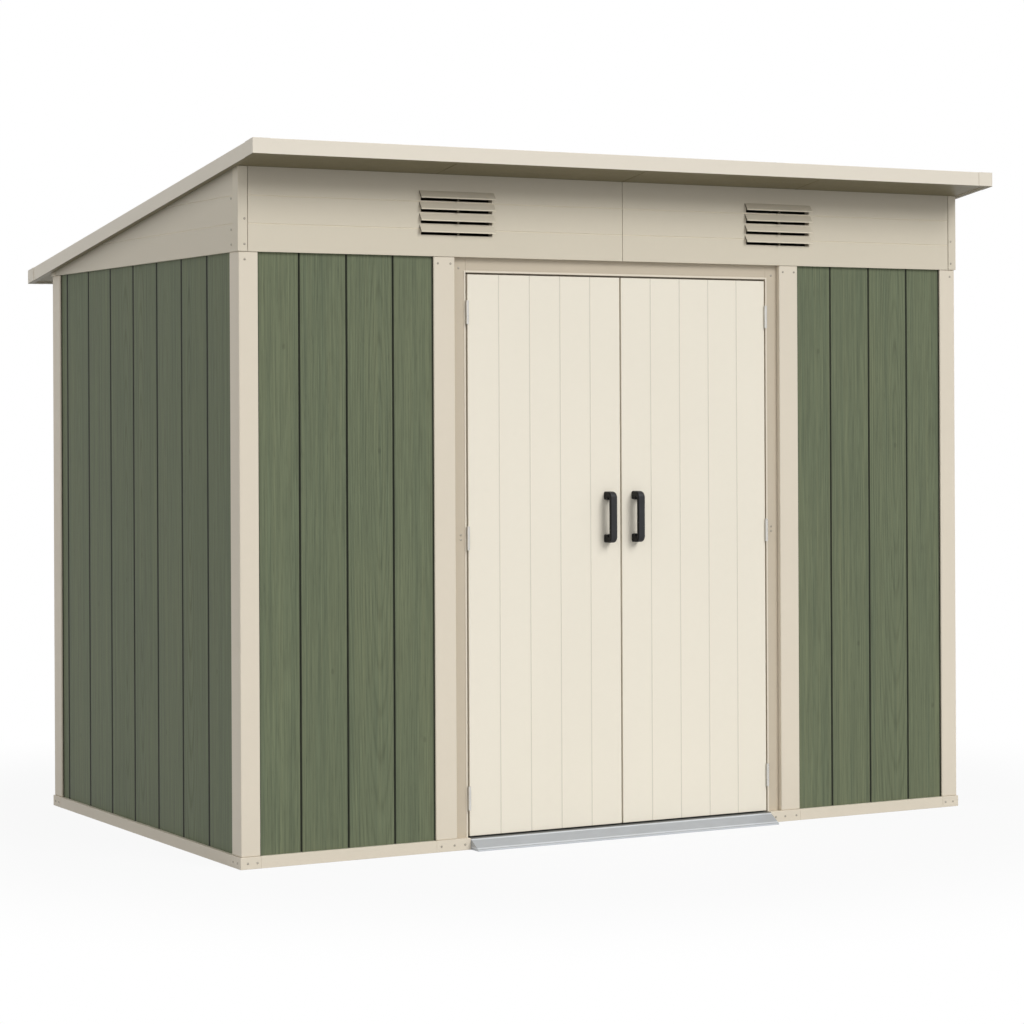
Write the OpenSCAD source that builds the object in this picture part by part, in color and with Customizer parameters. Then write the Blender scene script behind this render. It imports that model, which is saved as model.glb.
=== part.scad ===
// Pent-roof garden shed with a moulded panel wall kit, a louvred frieze and
// double doors. Millimetres, +Z up, the front faces -Y. The origin is on the
// ground at the centre of the footprint.

/* [Footprint] */
// Width over the base rails
shed_w = 2740; // [2200:10:3400]
// Depth over the base rails
shed_d = 1670; // [1200:10:2200]

/* [Walls] */
// Height of the wall panels' top, where the frieze starts
wall_top = 1886; // [1500:1:2300]
// Thickness of a wall panel
wall_t = 20; // [12:1:28]
// How far a wall panel lies behind the base rail's face
wall_recess = 12; // [10:1:18]
// Width of a moulded board on the front and back walls
board_w = 161.5; // [120:0.5:240]
// Width of a moulded board on the side walls
side_board_w = 210.5; // [120:0.5:300]
// First groove of a side wall, from the front face
side_first_groove = 272; // [150:1:300]
// Width of the groove between two boards
groove_w = 8; // [4:0.5:12]
// Depth of the groove between two boards
groove_depth = 4; // [2:0.5:6]

/* [Base] */
// Height of the base rail
base_h = 37; // [25:1:60]
// Gap between two floor panels
floor_seam = 2; // [1:0.5:6]
// Height of the floor panels' top
floor_top = 33; // [20:1:50]
// How far the base and the frieze stand proud of the posts
base_proud = 4; // [2:0.5:6]

/* [Posts] */
// Corner post's face on the front and back
corner_post_w = 64; // [50:1:90]
// Corner post's face on the sides
corner_post_d = 72; // [66:1:90]
// Width of the post beside the door frame
door_post_w = 75; // [50:1:100]
// Depth of the post beside the door frame
door_post_d = 58; // [46:1:72]
// How far a wall panel reaches into a post's slot
slot_grip = 10; // [6:1:14]
// Clearance of a panel in a slot, on each side
slot_clear = 0.5; // [0.2:0.1:1]

/* [Door frame] */
// Width of the doorway between the jambs
doorway_w = 1150; // [900:2:1400]
// Height of the header over the doorway
header_h = 48; // [30:1:150]
// Width of a jamb's face
jamb_w = 47; // [35:1:70]
// How far the jambs lie behind the door posts' face
jamb_recess = 17; // [8:1:25]
// Depth of the jambs and the header
jamb_d = 44; // [36:1:48]
// Width of the raised lip round the doorway
lip_w = 6; // [4:1:10]
// Height of the raised lip
lip_h = 2; // [1:0.5:3]
// How far the door stop reaches into the doorway
stop_w = 16; // [12:1:25]

/* [Doors] */
// Clearance round each leaf
leaf_gap = 6; // [5:0.5:8]
// Thickness of a leaf
leaf_t = 22; // [16:1:24]
// How far the leaf's face lies behind the base rail's face
leaf_recess = 18; // [14:1:22]
// Number of boards moulded on a leaf
leaf_boards = 5; // [3:1:7]
// Width of the groove on a leaf
leaf_groove_w = 3; // [2:0.5:6]
// Depth of the groove on a leaf
leaf_groove_depth = 1.5; // [1:0.5:3]
// Height of a stiffening ledge behind a leaf
ledge_h = 90; // [60:1:140]
// Thickness of a stiffening ledge
ledge_t = 16; // [10:1:24]
// How far a ledge ends short of the leaf's edges
ledge_inset = 40; // [30:1:80]
// How far the end ledges lie from the leaf's top and bottom
ledge_margin = 60; // [40:1:120]

/* [Hinges] */
// Length of a hinge
hinge_len = 76; // [50:1:100]
// Diameter of a hinge knuckle
knuckle_dia = 10; // [8:0.5:11]
// Diameter of a hinge pin
pin_dia = 5; // [3:0.5:6]
// Clearance of the pin in its bore, on the radius
pin_clear = 0.05; // [0.01:0.01:0.1]
// Thickness of a hinge plate
hinge_plate_t = 2; // [1.5:0.1:2.4]
// Depth of a hinge plate
hinge_plate_d = 24; // [16:1:30]
// Distance of the end hinges' centres from the leaf's ends
hinge_inset = 121; // [80:1:200]
// Height of the middle hinge's centre
hinge_mid_z = 990; // [800:1:1100]

/* [Handles] */
// Height of a handle
handle_h = 168; // [120:1:220]
// Width of a handle
handle_w = 26; // [18:1:32]
// How far a handle stands off the leaf
handle_reach = 44; // [36:1:60]
// Thickness of the grip
grip_t = 12; // [10:1:18]
// Height of a handle's foot
handle_foot_h = 28; // [20:1:34]
// Radius of a handle's outer corners
handle_r = 20; // [6:1:24]
// Height of the handles' centre
handle_z = 1047; // [900:1:1200]
// Distance of a handle's centre from the leaf's meeting edge
handle_inset = 50; // [30:1:90]

/* [Frieze] */
// Thickness of the frieze and gable panels
frieze_t = 24; // [16:1:30]
// Width of a moulded board on the frieze and the gables
frieze_board_h = 86; // [60:1:120]
// Width of the groove between frieze boards
frieze_groove_w = 3; // [2:0.5:5]
// Corner trim's face on the front
frieze_corner_w = 32; // [28:1:50]
// Corner trim's face on the sides
frieze_corner_d = 40; // [28:1:60]
// How far the corner trims stand proud of the frieze and gables
frieze_corner_proud = 1.5; // [0.5:0.5:3]
// Gap between the two frieze panels, and beside the corner trims
frieze_seam = 2; // [1:0.5:4]

/* [Vents] */
// Width of a louvred vent
vent_w = 268; // [180:2:340]
// Distance of a vent's centre from the middle of the front
vent_x = 615; // [400:1:800]
// Height of the lowest louvre's lower edge above the wall panels
vent_z = 75; // [50:1:100]
// Pitch of the louvres
louvre_pitch = 36; // [32:1:42]
// Number of louvres
louvres = 4; // [2:1:5]
// Height of a vent slot
slot_h = 20; // [12:1:24]
// How far a slot reaches below its louvre's lower edge
slot_drop = 8; // [3:1:10]
// How far a slot ends short of its louvre's end
slot_inset = 6; // [3:1:20]
// Height of a louvre blade
louvre_h = 24; // [18:1:28]
// How far a louvre stands off the frieze
louvre_reach = 15; // [10:1:24]
// Thickness of a louvre blade
louvre_t = 3; // [2:0.5:4]

/* [Roof] */
// Height of the back fascia's top edge above the wall panels
roof_back_h = 28; // [22:1:120]
// Rise of the roof from the back fascia to the front one
roof_rise = 302; // [200:1:500]
// Overhang at the front and the back
eaves = 172; // [80:1:260]
// Overhang at the sides
verge = 24; // [20:1:80]
// Height of the fascia
fascia_h = 48; // [40:1:80]
// Thickness of the fascia
fascia_t = 18; // [12:1:30]
// How far the soffit lies above the fascia's lower edge
soffit_recess = 4; // [2:1:10]
// How far the roof panels' flat lies below the fascia's top edge
roof_recess = 10; // [6:1:14]
// Clearance under the roof panels, over the walls and rafters
roof_clear = 0.2; // [0.1:0.1:1]
// Gap between two roof panels
roof_seam = 1; // [0.5:0.5:3]
// Number of ribs on a roof panel
roof_ribs = 4; // [2:1:6]
// Height of a rib
rib_h = 8; // [4:1:9]
// Width of a rib
rib_w = 36; // [20:1:60]
// Face of a fascia corner cap
fascia_cap_w = 56; // [30:1:90]
// How far a fascia corner cap stands proud
fascia_cap_proud = 1.5; // [1:0.5:3]
// Number of roof rafters
rafters = 3; // [2:1:5]
// Width of a rafter
rafter_w = 30; // [20:1:50]
// Depth of a rafter
rafter_h = 40; // [25:1:60]

/* [Ramp] */
// How far the ramp reaches in front of the base
ramp_reach = 50; // [30:1:120]
// Height of the ramp's upper edge
ramp_top = 34; // [20:1:36]
// Thickness of the ramp's toe
ramp_toe = 4; // [2:1:8]

/* [Hidden] */

roof_panel_count = 4;
ledge_count = 3;
eps = 1;
curve_fn = 48;

// Footprint and the roof's outline
half_w = shed_w / 2;
half_d = shed_d / 2;
roof_half_w = half_w + verge;
roof_front = -half_d - eaves;
roof_back = half_d + eaves;
roof_back_z = wall_top + roof_back_h;
roof_front_z = roof_back_z + roof_rise;
roof_slope = roof_rise / (roof_back - roof_front);
function fascia_top(y) = roof_front_z - (y - roof_front) * roof_slope;
function soffit(y) = fascia_top(y) - fascia_h + soffit_recess;

// Faces that pieces share, on the right-hand half and at the front
post_out_x = half_w - base_proud;
post_in_x = post_out_x - corner_post_w;
post_in_y = half_d - base_proud - corner_post_d;
doorway_x = doorway_w / 2;
doorway_top = wall_top - header_h;
door_post_in_x = doorway_x + jamb_w;
door_post_out_x = door_post_in_x + door_post_w;
post_face_y = -half_d + base_proud;
jamb_face_y = post_face_y + jamb_recess;
jamb_back_y = jamb_face_y + jamb_d;
leaf_face_y = -half_d + leaf_recess;
leaf_back_y = leaf_face_y + leaf_t;
stop_face_y = leaf_back_y + leaf_gap;
frieze_face_y = -half_d + frieze_corner_proud;

// Leaves and their hinges
leaf_in_x = leaf_gap / 2;
leaf_out_x = doorway_x - leaf_gap;
leaf_low_z = ramp_top + leaf_gap;
leaf_high_z = doorway_top - leaf_gap;
hinge_x = doorway_x - leaf_gap / 2;
hinge_y = leaf_face_y - knuckle_dia / 2;
hinge_heights = [leaf_low_z + hinge_inset, hinge_mid_z, leaf_high_z - hinge_inset];
knuckle_gap = 0.5;
pin_end = 2;
plate_start = knuckle_dia / 2 + 2;

// A block between two corners.
module block(x, y, z) {
    translate([x[0], y[0], z[0]])
        cube([x[1] - x[0], y[1] - y[0], z[1] - z[0]]);
}

// An outline in Y and Z, carried along X.
module along_x(x, outline) {
    translate([x[0], 0, 0])
        rotate([90, 0, 90])
            linear_extrude(x[1] - x[0])
                polygon(outline);
}

// A band that follows the roof's slope, between two depths below the fascia's top edge.
module roof_band(x, y, drop) {
    along_x(x, [
        [y[0], fascia_top(y[0]) - drop[1]], [y[1], fascia_top(y[1]) - drop[1]],
        [y[1], fascia_top(y[1]) - drop[0]], [y[0], fascia_top(y[0]) - drop[0]]
    ]);
}

// A block whose top is cut to the soffit.
module under_soffit(x, y) {
    along_x(x, [
        [y[0], wall_top], [y[1], wall_top],
        [y[1], soffit(y[1]) - roof_clear], [y[0], soffit(y[0]) - roof_clear]
    ]);
}

// Cutters for the level grooves between a frieze's boards, in a face at y = 0 that looks towards -Y.
module frieze_grooves(x) {
    for (z = [wall_top + frieze_board_h:frieze_board_h:soffit(-half_d) - frieze_groove_w])
        translate([x[0], 0, z])
            rotate([0, 90, 0])
                groove_cutter(frieze_groove_w, frieze_groove_w / 2, [0, x[1] - x[0]]);
}

module left_side() {
    mirror([1, 0, 0]) children();
}

module at_back() {
    mirror([0, 1, 0]) children();
}

// A piece and its mirror image across the middle of the front.
module both_sides() {
    children();
    left_side() children();
}

// A cutter for an upright groove, V-shaped, in a face at y = 0 that looks towards -Y.
module groove_cutter(width, depth, z) {
    translate([0, 0, z[0] - eps])
        linear_extrude(z[1] - z[0] + 2 * eps)
            polygon([[-width / 2, -eps], [width / 2, -eps], [width / 2, 0], [0, depth], [-width / 2, 0]]);
}

// A moulded board panel that looks towards -Y, with its face at y = 0.
module board_panel(x, z, thickness, grooves, width, depth) {
    difference() {
        block(x, [0, thickness], z);
        for (g = grooves)
            translate([g, 0, 0])
                groove_cutter(width, depth, z);
    }
}

// ---- Base ----

module floor_panels() {
    width = (2 * post_in_x - 2 * floor_seam) / 3;
    color("#8b8d8a")
        for (i = [0:2])
            block([-post_in_x + i * (width + floor_seam), -post_in_x + i * (width + floor_seam) + width],
                [-post_in_y, post_in_y], [0, floor_top]);
}

module base_rails_front() {
    color("#cfc4b0")
        both_sides()
            block([door_post_out_x, post_in_x], [-half_d, -post_in_y], [0, base_h]);
}

module base_rail_right() {
    color("#cfc4b0")
        block([post_in_x, half_w], [-post_in_y, post_in_y], [0, base_h]);
}

module base_rail_left() {
    left_side() base_rail_right();
}

module base_rail_back() {
    color("#cfc4b0")
        block([-post_in_x, post_in_x], [post_in_y, half_d], [0, base_h]);
}

module base_corners() {
    color("#cfc4b0")
        both_sides() {
            block([post_in_x, half_w], [-half_d, -post_in_y], [0, base_h]);
            block([post_in_x, half_w], [post_in_y, half_d], [0, base_h]);
        }
}

module door_post_feet() {
    color("#cfc4b0")
        both_sides()
            block([doorway_x, door_post_out_x], [-half_d, -post_in_y], [0, base_h]);
}

module door_sill() {
    color("#a9a9a6")
        block([-doorway_x, doorway_x], [-half_d, -post_in_y], [0, ramp_top]);
}

module door_ramp() {
    color("#b9bcbf")
        along_x([-doorway_x, doorway_x], [
            [-half_d, 0], [-half_d, ramp_top],
            [-half_d - ramp_reach, ramp_toe], [-half_d - ramp_reach, 0]
        ]);
}

// ---- Posts and door frame ----

// Slots for the edges of the front wall and of the side wall.
module panel_slots() {
    face = -half_d + wall_recess;
    block([post_in_x - eps, post_in_x + slot_grip],
        [face - slot_clear, face + wall_t + slot_clear], [base_h - eps, wall_top + eps]);
    side_face = half_w - wall_recess;
    block([side_face - wall_t - slot_clear, side_face + slot_clear],
        [-post_in_y - slot_grip, -post_in_y + eps], [base_h - eps, wall_top + eps]);
}

module corner_post_front_right() {
    color("#d2c7b3")
        difference() {
            block([post_in_x, post_out_x], [post_face_y, -post_in_y], [base_h, wall_top]);
            panel_slots();
        }
}

module corner_post_front_left() {
    left_side() corner_post_front_right();
}

module corner_post_back_right() {
    at_back() corner_post_front_right();
}

module corner_post_back_left() {
    at_back() corner_post_front_left();
}

module door_post_right() {
    face = -half_d + wall_recess;
    color("#d2c7b3")
        difference() {
            block([door_post_in_x, door_post_out_x],
                [post_face_y, post_face_y + door_post_d], [base_h, wall_top]);
            block([door_post_out_x - slot_grip, door_post_out_x + eps],
                [face - slot_clear, face + wall_t + slot_clear], [base_h - eps, wall_top + eps]);
        }
}

module door_post_left() {
    left_side() door_post_right();
}

module door_jambs() {
    color("#bdb19b")
        both_sides() {
            block([doorway_x, door_post_in_x], [jamb_face_y, jamb_back_y], [base_h, wall_top]);
            block([doorway_x - stop_w, doorway_x + eps], [stop_face_y, jamb_back_y], [base_h, wall_top]);
            block([doorway_x, doorway_x + lip_w], [jamb_face_y - lip_h, jamb_face_y + eps],
                [base_h, doorway_top + lip_w]);
        }
}

module door_header() {
    stop_x = doorway_x - stop_w;
    color("#bdb19b")
        union() {
            block([-doorway_x, doorway_x], [jamb_face_y, stop_face_y], [doorway_top, wall_top]);
            block([-stop_x, stop_x], [stop_face_y - eps, jamb_back_y], [doorway_top, wall_top]);
            block([-stop_x, stop_x], [stop_face_y, jamb_back_y], [doorway_top - stop_w, wall_top]);
            block([-doorway_x, doorway_x], [jamb_face_y - lip_h, jamb_face_y + eps],
                [doorway_top, doorway_top + lip_w]);
        }
}

// ---- Walls ----

module front_wall_right() {
    middle = (door_post_out_x + post_in_x) / 2;
    color("#667159")
        translate([0, -half_d + wall_recess, 0])
            board_panel([door_post_out_x - slot_grip, post_in_x + slot_grip], [base_h, wall_top], wall_t,
                [for (i = [-1:1]) middle + i * board_w], groove_w, groove_depth);
}

module front_wall_left() {
    left_side() front_wall_right();
}

module right_wall() {
    first = -half_d + side_first_groove;
    color("#667159")
        translate([half_w - wall_recess, 0, 0])
            rotate([0, 0, 90])
                board_panel([-post_in_y - slot_grip, post_in_y + slot_grip], [base_h, wall_top], wall_t,
                    [for (y = [first:side_board_w:post_in_y - groove_w]) y], groove_w, groove_depth);
}

module left_wall() {
    left_side() right_wall();
}

module back_wall_right() {
    color("#667159")
        at_back()
            translate([0, -half_d + wall_recess, 0])
                board_panel([0, post_in_x + slot_grip], [base_h, wall_top], wall_t,
                    [for (x = [board_w:board_w:post_in_x - groove_w]) x], groove_w, groove_depth);
}

module back_wall_left() {
    left_side() back_wall_right();
}

// ---- Frieze and gables ----

module vent_slots() {
    for (i = [0:louvres - 1]) {
        low = wall_top + vent_z + i * louvre_pitch - slot_drop;
        block([vent_x - vent_w / 2 + slot_inset, vent_x + vent_w / 2 - slot_inset],
            [frieze_face_y - eps, frieze_face_y + frieze_t + eps], [low, low + slot_h]);
    }
}

module frieze_right() {
    x = [frieze_seam / 2, half_w - frieze_corner_w - frieze_seam];
    color("#c5bca8")
        difference() {
            under_soffit(x, [frieze_face_y, frieze_face_y + frieze_t]);
            translate([0, frieze_face_y, 0])
                frieze_grooves(x);
            vent_slots();
        }
}

module frieze_left() {
    left_side() frieze_right();
}

module gable_right() {
    face = half_w - frieze_corner_proud;
    y = [-half_d + frieze_corner_d + frieze_seam, half_d - frieze_corner_d - frieze_seam];
    color("#b3a996")
        difference() {
            under_soffit([face - frieze_t, face], y);
            translate([face, 0, 0])
                rotate([0, 0, 90])
                    frieze_grooves(y);
        }
}

module gable_left() {
    left_side() gable_right();
}

module frieze_corners() {
    color("#c5bca8")
        both_sides() {
            under_soffit([half_w - frieze_corner_w, half_w], [-half_d, -half_d + frieze_corner_d]);
            under_soffit([half_w - frieze_corner_w, half_w], [half_d - frieze_corner_d, half_d]);
        }
}

module back_top_rail() {
    rail_x = half_w - frieze_corner_w - frieze_seam;
    color("#c5bca8")
        under_soffit([-rail_x, rail_x], [half_d - frieze_corner_proud - frieze_t, half_d - frieze_corner_proud]);
}

module vent_louvres_right() {
    color("#b5a994")
        for (i = [0:louvres - 1]) {
            low = wall_top + vent_z + i * louvre_pitch;
            along_x([vent_x - vent_w / 2, vent_x + vent_w / 2], [
                [frieze_face_y, low + louvre_h], [frieze_face_y, low + louvre_h - 2 * louvre_t],
                [frieze_face_y - louvre_reach + louvre_t, low],
                [frieze_face_y - louvre_reach, low], [frieze_face_y - louvre_reach, low + louvre_t]
            ]);
        }
}

module vent_louvres_left() {
    left_side() vent_louvres_right();
}

// ---- Roof ----

module roof_panel(index) {
    inner = roof_half_w - fascia_t;
    pitch = 2 * inner / roof_panel_count;
    low_x = -inner + index * pitch + (index > 0 ? roof_seam / 2 : 0);
    high_x = -inner + (index + 1) * pitch - (index < roof_panel_count - 1 ? roof_seam / 2 : 0);
    y = [roof_front + fascia_t, roof_back - fascia_t];
    color("#cbc1ad") {
        roof_band([low_x, high_x], y, [roof_recess, fascia_h - soffit_recess]);
        for (i = [0:roof_ribs - 1]) {
            rib_x = -inner + (index + (i + 0.5) / roof_ribs) * pitch;
            roof_band([rib_x - rib_w / 2, rib_x + rib_w / 2], y, [roof_recess - rib_h, roof_recess + eps]);
        }
    }
}

module fascia_front() {
    color("#ddd5c4")
        roof_band([-roof_half_w, roof_half_w], [roof_front, roof_front + fascia_t], [0, fascia_h]);
}

module fascia_back() {
    color("#ddd5c4")
        roof_band([-roof_half_w, roof_half_w], [roof_back - fascia_t, roof_back], [roof_recess, fascia_h]);
}

module fascia_right() {
    color("#ddd5c4")
        roof_band([roof_half_w - fascia_t, roof_half_w],
            [roof_front + fascia_t, roof_back - fascia_t], [0, fascia_h]);
}

module fascia_left() {
    left_side() fascia_right();
}

// L-shaped sheets wrapped round the fascia's four corners.
module fascia_caps() {
    p = fascia_cap_proud;
    side = [roof_half_w, roof_half_w + p];
    face = [roof_half_w - fascia_cap_w, roof_half_w + p];
    color("#ddd5c4")
        both_sides() {
            roof_band(face, [roof_front - p, roof_front], [0, fascia_h]);
            roof_band(side, [roof_front - p, roof_front + fascia_cap_w], [0, fascia_h]);
            roof_band(face, [roof_back, roof_back + p], [0, fascia_h]);
            roof_band(side, [roof_back - fascia_cap_w, roof_back + p], [0, fascia_h]);
        }
}

module roof_rafters() {
    front = frieze_face_y + frieze_t;
    back = half_d - wall_recess - wall_t;
    top = fascia_h - soffit_recess + roof_clear;
    color("#8f9294")
        for (i = [1:rafters]) {
            x = -half_w + i * shed_w / (rafters + 1);
            roof_band([x - rafter_w / 2, x + rafter_w / 2], [front, back], [top, top + rafter_h]);
        }
}

// ---- Doors ----

module door_leaf_right() {
    board = (leaf_out_x - leaf_in_x) / leaf_boards;
    color("#e6dfcc")
        translate([0, leaf_face_y, 0])
            board_panel([leaf_in_x, leaf_out_x], [leaf_low_z, leaf_high_z], leaf_t,
                [for (i = [1:leaf_boards - 1]) leaf_in_x + i * board], leaf_groove_w, leaf_groove_depth);
}

module door_leaf_left() {
    left_side() door_leaf_right();
}

module door_ledges_right() {
    low = leaf_low_z + ledge_margin;
    pitch = (leaf_high_z - ledge_margin - ledge_h - low) / (ledge_count - 1);
    color("#e6dfcc")
        for (i = [0:ledge_count - 1])
            block([leaf_in_x + ledge_inset, leaf_out_x - ledge_inset],
                [leaf_back_y, leaf_back_y + ledge_t], [low + i * pitch, low + i * pitch + ledge_h]);
}

module door_ledges_left() {
    left_side() door_ledges_right();
}

// Outline of a handle: x is the distance from the leaf, y the height.
module handle_outline() {
    difference() {
        union() {
            square([handle_reach - handle_r, handle_h]);
            translate([0, handle_r])
                square([handle_reach, handle_h - 2 * handle_r]);
            for (z = [handle_r, handle_h - handle_r])
                translate([handle_reach - handle_r, z])
                    circle(handle_r, $fn = curve_fn);
        }
        translate([-eps, handle_foot_h])
            square([handle_reach - grip_t + eps, handle_h - 2 * handle_foot_h]);
    }
}

module handle_right() {
    color("#262626")
        translate([leaf_in_x + handle_inset + handle_w / 2, leaf_face_y, handle_z - handle_h / 2])
            rotate([90, 0, -90])
                linear_extrude(handle_w)
                    handle_outline();
}

module handle_left() {
    left_side() handle_right();
}

// ---- Hinges ----

// Half of a lift-off hinge round the origin: plate on the +X side, knuckle below the middle.
module hinge_half() {
    plate_x = leaf_gap / 2 - hinge_plate_t;
    half = hinge_len / 2;
    translate([0, 0, -half])
        cylinder(h = half - knuckle_gap / 2, d = knuckle_dia, $fn = curve_fn);
    block([plate_x, plate_x + hinge_plate_t], [0, plate_start + eps], [-half, -knuckle_gap / 2]);
    block([plate_x, plate_x + hinge_plate_t], [plate_start, hinge_plate_d], [-half, half]);
}

module frame_hinges() {
    color("#b4b6b8")
        both_sides()
            for (z = hinge_heights)
                translate([hinge_x, hinge_y, z]) {
                    hinge_half();
                    translate([0, 0, -knuckle_gap])
                        cylinder(h = hinge_len / 2 - pin_end + knuckle_gap, d = pin_dia, $fn = curve_fn);
                }
}

module door_hinges_right() {
    bore_r = pin_dia / 2 + pin_clear;
    color("#b4b6b8")
        for (z = hinge_heights)
            translate([hinge_x, hinge_y, z])
                difference() {
                    rotate([0, 180, 0]) hinge_half();
                    translate([0, 0, -eps])
                        cylinder(h = hinge_len / 2 - pin_end + eps + knuckle_gap, r = bore_r, $fn = curve_fn);
                }
}

module door_hinges_left() {
    left_side() door_hinges_right();
}

floor_panels();
base_rails_front();
base_rail_left();
base_rail_right();
base_rail_back();
base_corners();
door_post_feet();
door_sill();
door_ramp();
corner_post_front_left();
corner_post_front_right();
corner_post_back_left();
corner_post_back_right();
door_post_left();
door_post_right();
door_jambs();
door_header();
front_wall_left();
front_wall_right();
left_wall();
right_wall();
back_wall_left();
back_wall_right();
frieze_left();
frieze_right();
gable_left();
gable_right();
frieze_corners();
back_top_rail();
vent_louvres_left();
vent_louvres_right();
roof_panel(0);  // roof_panel_1
roof_panel(1);  // roof_panel_2
roof_panel(2);  // roof_panel_3
roof_panel(3);  // roof_panel_4
fascia_front();
fascia_back();
fascia_left();
fascia_right();
fascia_caps();
roof_rafters();
door_leaf_left();
door_leaf_right();
door_ledges_left();
door_ledges_right();
handle_left();
handle_right();
frame_hinges();
door_hinges_left();
door_hinges_right();
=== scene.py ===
"""Finishes, fittings and studio of the garden shed, laid out as an add-on and run as a script."""
import math

import bpy
import numpy as np
from bpy.props import FloatProperty, FloatVectorProperty, IntProperty, PointerProperty
from bpy.types import Operator, Panel, PropertyGroup
from mathutils import Matrix, Vector
from mathutils.bvhtree import BVHTree


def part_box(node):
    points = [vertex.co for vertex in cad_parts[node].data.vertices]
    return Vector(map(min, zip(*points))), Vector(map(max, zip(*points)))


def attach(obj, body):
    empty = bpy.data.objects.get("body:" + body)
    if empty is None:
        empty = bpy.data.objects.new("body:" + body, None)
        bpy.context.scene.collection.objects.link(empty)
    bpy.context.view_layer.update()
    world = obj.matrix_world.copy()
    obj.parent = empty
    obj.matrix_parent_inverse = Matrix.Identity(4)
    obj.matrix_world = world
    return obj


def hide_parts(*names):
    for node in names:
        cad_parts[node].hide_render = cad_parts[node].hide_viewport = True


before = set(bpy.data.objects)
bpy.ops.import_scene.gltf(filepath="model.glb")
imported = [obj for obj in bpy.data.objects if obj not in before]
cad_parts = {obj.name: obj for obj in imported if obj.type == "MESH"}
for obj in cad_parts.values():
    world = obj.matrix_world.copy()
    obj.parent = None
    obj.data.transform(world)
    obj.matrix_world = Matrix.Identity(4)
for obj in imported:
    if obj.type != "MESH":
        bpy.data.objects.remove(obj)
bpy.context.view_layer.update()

bl_info = {
    "name": "Garden Shed Finishes",
    "version": (1, 0, 0),
    "blender": (4, 5, 0),
    "location": "View3D > Sidebar > Shed",
    "description": "Gives a plastic garden shed its finishes, fittings and studio",
    "category": "Object",
}

MM = 0.001
SIDES = {"left": -1.0, "right": 1.0}
ROOF_PANELS = [f"roof_panel_{number}" for number in (1, 2, 3, 4)]


# ---- Sizes and colours a user would change ----

def colour(name, description, value):
    """A colour property, written as screen red, green and blue from 0 to 255."""
    linear = [((c / 255 + 0.055) / 1.055) ** 2.4 if c > 10 else c / 3294 for c in value]
    return FloatVectorProperty(
        name=name, description=description, subtype="COLOR", size=3, min=0, max=1, default=linear
    )


def length(name, description, millimetres):
    """A length property, given in millimetres and kept in metres."""
    return FloatProperty(
        name=name, description=description, unit="LENGTH", precision=4, min=0, default=millimetres * MM
    )


class ShedColours(PropertyGroup):
    """Colours of the shed's finishes."""

    trim: colour("Trim", "Posts, base rails and feet", (221, 211, 193))
    jamb: colour("Jamb", "Door jambs and header", (196, 184, 164))
    lip: colour("Lip", "Raised lip round the doorway", (222, 213, 196))
    wall: colour("Wall", "Wall boards between their grooves", (94, 104, 81))
    frieze: colour("Frieze", "Frieze, gables and louvres", (212, 203, 184))
    fascia: colour("Fascia", "Roof's edge boards", (226, 218, 203))
    roof: colour("Roof", "Roof panels from above", (205, 196, 178))
    # Painted shade: the roof panels' underside gets a darker colour than their top.
    soffit_shade: colour("Soffit", "Roof panels from below", (115, 106, 79))
    bracket: colour("Bracket", "Brackets under the louvres", (72, 64, 49))
    door: colour("Door", "Door leaves", (236, 229, 213))
    handle: colour("Handle", "Pull handles", (50, 50, 52))
    # Painted shade: the handles' left flank gets a darker colour than their front.
    handle_side_shade: colour("Handle side", "Left flank of the pull handles", (13, 13, 14))
    zinc: colour("Zinc", "Hinges and rafters", (208, 206, 201))
    screw: colour("Screws", "Screw heads", (166, 160, 147))
    ramp: colour("Ramp", "Doorway ramp", (180, 184, 189))
    floor: colour("Floor", "Floor panels and sill", (134, 135, 132))


class ShedSizes(PropertyGroup):
    """Sizes of the fittings and of the patterns pressed into the panels."""

    edge: length("Edge", "Radius of the posts' and rails' edges", 3)
    fine_edge: length("Fine edge", "Radius of thin panels' edges", 1.2)
    wall_board: length("Wall board", "Pitch of the boards on the front and back", 161.5)
    side_board: length("Side board", "Pitch of the boards on the sides", 210.5)
    groove: length("Groove", "Half width of the grooves on the front and back", 5)
    side_groove: length("Side groove", "Half width of the grooves on the sides", 9.5)
    side_first: length("Side first groove", "First side groove from the front", 272)
    frieze_board: length("Frieze board", "Pitch of the frieze's level boards", 86)
    ring_pitch: length("Ring pitch", "Distance between two lines of the pressed grain", 9)
    grain_depth: length("Grain depth", "Depth of the pressed grain", 0.7)
    grip: length("Grip", "Thickness of a handle's grip", 12)
    foot: length("Foot", "Height of a handle's foot", 28)
    bend: length("Bend", "Radius of a handle's outer corner", 20)
    screw: length("Screw head", "Diameter of a screw head", 7.5)
    roof_screw: length("Roof screw", "Diameter of a roof screw's head", 10)
    middle_hinge: length("Middle hinge", "Height of the middle hinges", 990)
    louvre_pitch: length("Louvre pitch", "Distance between two louvres", 36)
    rafter_width: length("Rafter width", "Width of a rafter", 30)
    rafter_depth: length("Rafter depth", "Depth of a rafter", 40)
    rafter_lip: length("Rafter lip", "Turned-in edge of a rafter", 9)
    sheet: length("Channel sheet", "Thickness of a rafter's sheet", 1.6)
    leaf_boards: IntProperty(
        name="Leaf boards", description="Boards moulded on a door leaf", min=1, default=5
    )


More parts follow.
